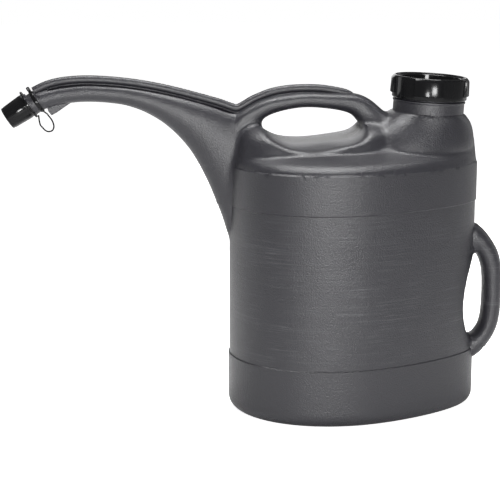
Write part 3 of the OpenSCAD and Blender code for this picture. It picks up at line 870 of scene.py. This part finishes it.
def can_plastic(groups):
    """Dark grey moulded plastic with level scuffs between the bands and a parting line."""
    s = settings()
    material, tree, shader = new_material("can plastic")
    grain = use_group(tree, groups["grain"],
                      {"Color": (*s.finish.can_colour, 1), "Roughness": s.finish.can_roughness,
                       "Grain Scale": 620.0, "Speckle": 0.45, "Gloss Spread": 0.1})
    scuff = use_group(tree, groups["scratch"],
                      {"Low": s.body.lower_band_top, "High": s.body.upper_band_bottom,
                       "Amount": s.finish.scratches})
    seam = use_group(tree, groups["parting"], {"Half Width": 0.0007})
    scuffed = add_node(tree, "ShaderNodeMix", {0: scuff.outputs["Mask"], 6: grain.outputs["Color"],
                                               7: (0.17, 0.172, 0.18, 1)}, data_type="RGBA")
    tree.links.new(scuffed.outputs[2], shader.inputs["Base Color"])
    tree.links.new(maths(tree, "ADD", grain.outputs["Roughness"], maths(tree, "MULTIPLY", scuff.outputs["Mask"], 0.15)),
                   shader.inputs["Roughness"])
    ridge = bump(tree, seam.outputs["Mask"], 0.5, 0.0004)
    fine = bump(tree, grain.outputs["Height"], s.finish.grain, 0.0006, ridge)
    tree.links.new(bump(tree, scuff.outputs["Height"], 0.25, 0.0002, fine), shader.inputs["Normal"])
    shader.inputs["Specular IOR Level"].default_value = 0.5
    return material


def cap_plastic(groups):
    """Glossy black plastic of the two caps and the strap."""
    s = settings().finish
    material, tree, shader = new_material("cap plastic")
    grain = use_group(tree, groups["grain"],
                      {"Color": (*s.cap_colour, 1), "Roughness": s.cap_roughness, "Grain Scale": 500.0,
                       "Speckle": 0.25, "Gloss Spread": 0.18})
    tree.links.new(grain.outputs["Color"], shader.inputs["Base Color"])
    tree.links.new(grain.outputs["Roughness"], shader.inputs["Roughness"])
    tree.links.new(bump(tree, grain.outputs["Height"], 0.06, 0.0003), shader.inputs["Normal"])
    shader.inputs["Specular IOR Level"].default_value = 0.18
    return material


def seal_foam(groups):
    """Dull grey foamed seal."""
    s = settings().finish
    material, tree, shader = new_material("seal foam")
    grain = use_group(tree, groups["grain"],
                      {"Color": (*s.seal_colour, 1), "Roughness": 0.8, "Grain Scale": 1600.0, "Speckle": 0.5,
                       "Gloss Spread": 0.1})
    tree.links.new(grain.outputs["Color"], shader.inputs["Base Color"])
    tree.links.new(grain.outputs["Roughness"], shader.inputs["Roughness"])
    tree.links.new(bump(tree, grain.outputs["Height"], 0.5, 0.0004), shader.inputs["Normal"])
    return material


def material_named(name):
    """A finish that the first operator made."""
    found = bpy.data.materials.get(name)
    if found is None:
        raise RuntimeError(f"the finish {name} is made first")
    return found


# Operators

class OILCAN_OT_finishes(bpy.types.Operator):
    """Makes the plastic finishes"""
    bl_idname = "oilcan.finishes"
    bl_label = "Finishes"

    def execute(self, context):
        groups = {"grain": grain_group(), "scratch": scratch_group(), "parting": parting_group()}
        for build in (can_plastic, cap_plastic, seal_foam):
            build(groups)
        return {"FINISHED"}


class OILCAN_OT_can(bpy.types.Operator):
    """Makes the moulded can with its spout, grips, vent tube and filler neck"""
    bl_idname = "oilcan.can"
    bl_label = "Can"

    def execute(self, context):
        s = settings()
        can = body_form("moulded_can", 0.0, 160)
        combine(can, boss_form("boss", 0.0, 96), "UNION")
        combine(can, saddle_form("saddle", 0.0, 96), "UNION")
        combine(can, spout_form("spout", 0.0, 64), "UNION")
        combine(can, hole_form("hand_hole", 0.0, 6), "DIFFERENCE")
        combine(can, bar_form("bar", 64), "UNION")
        combine(can, rear_form("rear", 64), "UNION")
        apply_modifier(can, "REMESH", mode="VOXEL", voxel_size=s.body.grid, adaptivity=0.0)
        co = points_of(can)
        relax(can, np.maximum(blend_weights(co), 0.2), 3)
        relax(can, blend_weights(points_of(can)), 36)
        true_wall(can)

        vent = vent_path()
        rows = spline(vent, 5)
        short = rows[5:]
        below = self.under(short, s.spout.vent_radius - 0.2 * MM)
        combine(can, loft("ledge", swept_tube(short + below, 0.8 * MM, s.spout.ledge_width, 20)), "UNION")
        combine(can, loft("vent", swept_tube(rows, s.spout.vent_radius, s.spout.vent_radius, 28)), "UNION")
        combine(can, slab("tab", DRIP_TAB, 1.5 * MM), "UNION")
        combine(can, tip_form("tip"), "UNION")
        combine(can, thread_form("neck"), "UNION")
        self.hollow(can)
        if len(can.data.polygons) < 1000:
            raise RuntimeError("the can's skin came back empty")
        finish_piece(can, WALL_BODY, "can_plastic", material_named("can plastic"), "can_body")
        return {"FINISHED"}

    @staticmethod
    def under(rows, distance):
        """Offsets that carry a line in the middle plane down by a distance."""
        heading = np.gradient(rows, axis=0)
        heading /= np.linalg.norm(heading, axis=1)[:, None]
        return np.column_stack([heading[:, 1], -heading[:, 0]]) * distance

    @staticmethod
    def hollow(can):
        """Cuts the inside, the neck's bore and the two bores of the mouth."""
        s = settings()
        gap = s.body.wall
        inner = body_form("hollow", gap, 64)
        combine(inner, boss_form("hollow_boss", gap, 48), "UNION")
        combine(inner, saddle_form("hollow_saddle", gap, 48), "UNION")
        combine(inner, hole_form("hole_wall", gap, 3), "DIFFERENCE")
        combine(inner, spout_form("hollow_spout", gap, 32), "UNION")
        combine(can, inner, "DIFFERENCE")
        neck, spout = s.neck, s.spout
        combine(can, bore_form("neck_bore", neck.bore, -24 * MM, neck.height + 1 * MM, 0, neck_matrix()), "DIFFERENCE")
        combine(can, bore_form("mouth_bore", spout.mouth_bore, -30 * MM, spout.mouth_length + 1 * MM,
                               -spout.bore_drop, tip_matrix()), "DIFFERENCE")
        combine(can, bore_form("vent_bore", spout.vent_bore, -11 * MM, spout.mouth_length + 1 * MM,
                               spout.vent_offset, tip_matrix()), "DIFFERENCE")


class OILCAN_OT_screw_cap(bpy.types.Operator):
    """Makes the wide screw cap with its four grip lugs and raised rim"""
    bl_idname = "oilcan.screw_cap"
    bl_label = "Screw cap"

    def execute(self, context):
        s = settings().neck
        top = s.height + s.gasket + s.cap_top_thickness + s.cap_rim_height
        bottom = top - s.cap_height
        bore = s.radius + 0.5 * MM
        radius = bore + s.cap_wall
        turn, lug = self.angles(s)
        lug_low, lug_high = bottom + 5 * MM, top - 1.6 * MM
        plate = top - s.cap_rim_height
        floor = plate - s.dish_depth
        rows = [
            [bore, bottom, 0], [radius - 0.7 * MM, bottom, 0], [radius, bottom + 0.7 * MM, 0],
            [radius, lug_low - 0.4 * MM, 0], [radius, lug_low, 0.85], [radius, lug_low + 0.5 * MM, 1],
            [radius, lug_high - 2.4 * MM, 0.75], [radius, lug_high - 0.8 * MM, 0.5], [radius, lug_high, 0.1],
            [radius - 0.2 * MM, top - 0.9 * MM, 0], [radius - 0.9 * MM, top - 0.2 * MM, 0],
            [radius - 1.4 * MM, top, 0], [radius - s.cap_rim_width + 0.6 * MM, top, 0],
            [radius - s.cap_rim_width, top - 0.5 * MM, 0], [radius - s.cap_rim_width - 0.2 * MM, plate, 0],
            [s.dish_radius + 0.5 * MM, plate, 0], [s.dish_radius, plate - 0.5 * MM, 0],
            [s.dish_radius, floor + 0.6 * MM, 0], [s.dish_radius - 0.6 * MM, floor, 0], [s.dish_radius * 0.12, floor, 0],
        ]
        rings = []
        for r, z, share in rows:
            reach = r + share * lug * s.lug_proud
            rings.append(np.column_stack([reach * np.cos(turn), reach * np.sin(turn), np.full(len(turn), z)]))
        cap = loft("screw_cap", rings, neck_matrix())
        seat, dish = s.height + s.gasket, s.dish_radius + 2 * MM
        inside = loft("cap_inside", turned_rings([[bore, bottom - 1 * MM], [bore, seat], [dish, seat],
                                                  [dish, floor - s.cap_top_thickness]], 96), neck_matrix())
        combine(cap, inside, "DIFFERENCE")
        apply_modifier(cap, "BEVEL", width=0.35 * MM, segments=2, limit_method="ANGLE",
                       angle_limit=math.radians(38), use_clamp_overlap=True)
        finish_piece(cap, CAP_BODY, "cap_plastic", material_named("cap plastic"), "filler_cap")
        return {"FINISHED"}

    @staticmethod
    def angles(s):
        """Directions round the cap, closer together at the lugs' ends, and which of them a lug covers."""
        edge = math.radians(0.9)
        half = s.lug_angle / 2
        turn, lug = [], []
        for k in range(s.lug_count):
            middle = s.lug_turn + 2 * math.pi * k / s.lug_count
            gap = math.pi / s.lug_count - half
            for a, on in ((-half - edge, 0), (-half, 1)):
                turn.append(middle + a)
                lug.append(on)
            for f in np.linspace(-half, half, 13)[1:-1]:
                turn.append(middle + f)
                lug.append(1)
            for a, on in ((half, 1), (half + edge, 0)):
                turn.append(middle + a)
                lug.append(on)
            for f in np.linspace(half + edge, half + 2 * gap - edge, 12)[1:-1]:
                turn.append(middle + f)
                lug.append(0)
        return np.array(turn), np.array(lug, float)


class OILCAN_OT_plug(bpy.types.Operator):
    """Makes the small push-on spout cap with its flutes and flange"""
    bl_idname = "oilcan.plug"
    bl_label = "Spout cap"

    def execute(self, context):
        s, spout = settings().plug, settings().spout
        gap = 0.3 * MM
        depth = spout.mouth_length + gap
        open_r, end_r = spout.mouth_radius + spout.mouth_taper + gap, spout.mouth_radius + gap
        ridge = [0.5, 0.5, 0.5, 0.5, 1, 0, 0, 0, 0, 0, 0, 0, 1, 0.5, 0.5, 0.5]
        flute = np.array(ridge * s.flute_count)
        sides = len(flute)
        t = turns(sides)
        rows = [
            [open_r, 0, 0], [s.flange_radius - 0.4 * MM, 0, 0], [s.flange_radius, 0.4 * MM, 0],
            [s.flange_radius, s.flange_thickness - 0.4 * MM, 0],
            [s.flange_radius - 0.5 * MM, s.flange_thickness, 0],
            [open_r + s.wall + 0.5 * MM, s.flange_thickness + 0.1 * MM, 0],
            [open_r + s.wall, s.flange_thickness + 0.7 * MM, 0],
            [open_r + s.wall - 0.1 * MM, s.flange_thickness + 2.2 * MM, 0],
            [open_r + s.wall - 0.1 * MM, s.flange_thickness + 3.0 * MM, 1],
            [end_r + s.wall, depth - 2.4 * MM, 1], [end_r + s.wall, depth - 1.6 * MM, 0],
            [end_r + s.wall, depth + s.wall - 0.9 * MM, 0], [end_r + s.wall - 0.3 * MM, depth + s.wall - 0.3 * MM, 0],
            [end_r + s.wall - 0.9 * MM, depth + s.wall, 0], [end_r * 0.7, depth + s.wall, 0],
            [end_r * 0.62, depth + s.wall - 0.35 * MM, 0], [end_r * 0.1, depth + s.wall - 0.35 * MM, 0],
        ]
        rings = []
        for r, z, share in rows:
            reach = r + share * flute * s.flute_proud
            rings.append(np.column_stack([reach * np.cos(t), reach * np.sin(t), np.full(sides, z)]))
        plug = loft("spout_plug", rings, tip_matrix())
        hollow = loft("plug_inside", turned_rings([[open_r, -1 * MM], [open_r, 0], [end_r, depth]], 48), tip_matrix())
        combine(plug, hollow, "DIFFERENCE")
        finish_piece(plug, PLUG_BODY, "cap_plastic", material_named("cap plastic"), "spout_cap", smooth_angle=40)
        return {"FINISHED"}


class OILCAN_OT_strap(bpy.types.Operator):
    """Makes the strap: a ring round the spout, its knob and the strand that loops to the spout cap"""
    bl_idname = "oilcan.strap"
    bl_label = "Strap"

    def execute(self, context):
        s, spout = settings().plug, settings().spout
        bore = spout.collar_radius + 0.1 * MM
        outer = bore + s.ring_wall
        soft = 0.9 * MM
        low, high = -s.ring_back, -s.ring_back + s.ring_width
        ring = loft("cap_strap", turned_rings([
            [outer - soft, low], [outer - 0.3 * soft, low + 0.3 * soft], [outer, low + soft], [outer, high - soft],
            [outer - 0.3 * soft, high - 0.3 * soft], [outer - soft, high]], 72), collar_matrix())
        combine(ring, bore_form("ring_bore", bore, low - 1 * MM, high + 1 * MM, 0, collar_matrix()), "DIFFERENCE")
        combine(ring, self.knob(outer, low), "UNION")
        combine(ring, self.strand(outer), "UNION")
        finish_piece(ring, None, "cap_plastic", material_named("cap plastic"), "spout_strap")
        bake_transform(ring)
        return {"FINISHED"}

    @staticmethod
    def knob(outer, low):
        """The small pull tab on the ring's upper side."""
        s = settings().plug
        deselect()
        bpy.ops.mesh.primitive_cube_add(size=1.0)
        piece = bpy.context.object
        piece.data.transform(Matrix.Diagonal((s.knob_height, 4.4 * MM, s.ring_width - 0.4 * MM, 1)))
        apply_modifier(piece, "BEVEL", width=1.1 * MM, segments=4, limit_method="NONE")
        piece.data.transform(collar_matrix() @ Matrix.Translation(
            (outer - 0.4 * MM + s.knob_height / 2, 0, low + s.ring_width / 2)))
        return piece

    @staticmethod
    def strand(outer):
        """The round strand that hangs in a loop under the spout."""
        s, spout = settings().plug, settings().spout
        line = [tip_point(-s.ring_back + s.ring_width / 2, -spout.collar_drop - outer + 0.6 * MM)]
        line += [[x * MM, z * MM] for x, z in STRAND_LINE]
        line.append(tip_point(-0.6 * MM - s.strand, -s.flange_radius + 1.2 * MM))
        return loft("strand", swept_tube(spline(line, 6), s.strand, s.strand, 16))


class OILCAN_OT_seal(bpy.types.Operator):
    """Gives the seal in the screw cap its foamed finish"""
    bl_idname = "oilcan.seal"
    bl_label = "Seal"

    def execute(self, context):
        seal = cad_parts["cap_gasket"]
        seal.data.materials.clear()
        seal.data.materials.append(material_named("seal foam"))
        return {"FINISHED"}


class OILCAN_OT_stage(bpy.types.Operator):
    """Makes the pale floor, the soft lamps and the camera"""
    bl_idname = "oilcan.stage"
    bl_label = "Stage"

    def execute(self, context):
        self.floor()
        self.world()
        self.lamps()
        self.camera()
        return {"FINISHED"}

    def floor(self):
        deselect()
        bpy.ops.mesh.primitive_plane_add(size=12.0, location=(0, 0, 0))
        floor = bpy.context.object
        floor.name = "floor"
        material, tree, shader = new_material("pale floor")
        shader.inputs["Base Color"].default_value = (0.92, 0.92, 0.92, 1)
        shader.inputs["Roughness"].default_value = 0.9
        shader.inputs["Emission Color"].default_value = (1, 1, 1, 1)
        path = tree.nodes.new("ShaderNodeLightPath")
        glow = 0.85
        tree.links.new(maths(tree, "MULTIPLY", path.outputs["Is Camera Ray"], glow), shader.inputs["Emission Strength"])
        floor.data.materials.append(material)

    def world(self):
        scene = bpy.context.scene
        scene.world = bpy.data.worlds.new("studio")
        scene.world.use_nodes = True
        tree = scene.world.node_tree
        back = tree.nodes["Background"]
        path = tree.nodes.new("ShaderNodeLightPath")
        white = add_node(tree, "ShaderNodeBackground", {"Color": (1, 1, 1, 1), "Strength": 1.0})
        mix = add_node(tree, "ShaderNodeMixShader", {0: path.outputs["Is Camera Ray"]})
        back.inputs["Color"].default_value = (1, 1, 1, 1)
        back.inputs["Strength"].default_value = 0.17
        tree.links.new(back.outputs[0], mix.inputs[1])
        tree.links.new(white.outputs[0], mix.inputs[2])
        tree.links.new(mix.outputs[0], tree.nodes["World Output"].inputs["Surface"])

    def lamps(self):
        lamps = [
            ("key", (0.2, -2.3, 0.62), (-0.05, 0, 0.25), (0.5, 0.4), 33.0),
            ("spout", (-0.55, -2.2, 0.42), (-0.2, 0, 0.3), (0.3, 0.3), 16.0),
            ("top", (-0.1, 0.05, 1.9), (-0.1, 0, 0.3), (1.4, 0.45), 44.0),
            ("back", (-0.1, 1.9, 0.8), (-0.05, 0, 0.3), (1.1, 0.8), 4.5),
            ("left", (-1.5, 0.9, 0.4), (-0.1, 0, 0.2), (0.5, 1.4), 4.0),
            ("right", (1.5, 0.9, 0.4), (0.1, 0, 0.2), (0.5, 1.4), 2.5),
        ]
        for name, place, aim, (wide, high), power in lamps:
            data = bpy.data.lights.new(name, "AREA")
            data.shape = "RECTANGLE"
            data.size, data.size_y, data.energy = wide, high, power
            lamp = bpy.data.objects.new(name, data)
            bpy.context.scene.collection.objects.link(lamp)
            lamp.location = place
            lamp.visible_camera = False
            lamp.rotation_euler = (Vector(aim) - Vector(place)).to_track_quat("-Z", "Y").to_euler()

    def camera(self):
        data = bpy.data.cameras.new("camera")
        data.sensor_width = 36
        data.lens = 124.66
        data.clip_end = 50
        camera = bpy.data.objects.new("camera", data)
        bpy.context.scene.collection.objects.link(camera)
        place, aim = Vector((-0.3214, -1.9300, 0.5874)), Vector((-0.1173, 0.0123, 0.1834))
        camera.location = place
        camera.rotation_euler = (aim - place).to_track_quat("-Z", "Y").to_euler()
        bpy.context.scene.camera = camera


class OILCAN_PT_panel(bpy.types.Panel):
    """Lists the can's pieces in the sidebar"""
    bl_idname = "OILCAN_PT_panel"
    bl_label = "Oil Can"
    bl_space_type = "VIEW_3D"
    bl_region_type = "UI"
    bl_category = "Oil Can"

    def draw(self, context):
        layout = self.layout
        for operator in OPERATORS:
            layout.operator(operator.bl_idname)
        for name in ("body", "spout", "grip", "neck", "plug", "finish"):
            group = getattr(context.scene.oil_can, name)
            box = layout.box()
            box.label(text=name.title())
            for key in group.bl_rna.properties.keys():
                if key not in ("rna_type", "name"):
                    box.prop(group, key)


GROUPS = (BodySizes, SpoutSizes, GripSizes, NeckSizes, PlugSizes, Finishes, OilCanSettings)
OPERATORS = (OILCAN_OT_finishes, OILCAN_OT_can, OILCAN_OT_screw_cap, OILCAN_OT_plug, OILCAN_OT_strap,
             OILCAN_OT_seal, OILCAN_OT_stage)


def register():
    for item in GROUPS + OPERATORS + (OILCAN_PT_panel,):
        bpy.utils.register_class(item)
    bpy.types.Scene.oil_can = PointerProperty(type=OilCanSettings)


def unregister():
    del bpy.types.Scene.oil_can
    for item in reversed(GROUPS + OPERATORS + (OILCAN_PT_panel,)):
        bpy.utils.unregister_class(item)


def main():
    register()
    scene = bpy.context.scene
    scene.view_settings.view_transform = "Standard"
    for operator in OPERATORS:
        space, name = operator.bl_idname.split(".")
        getattr(getattr(bpy.ops, space), name)()


if __name__ == "__main__":
    main()
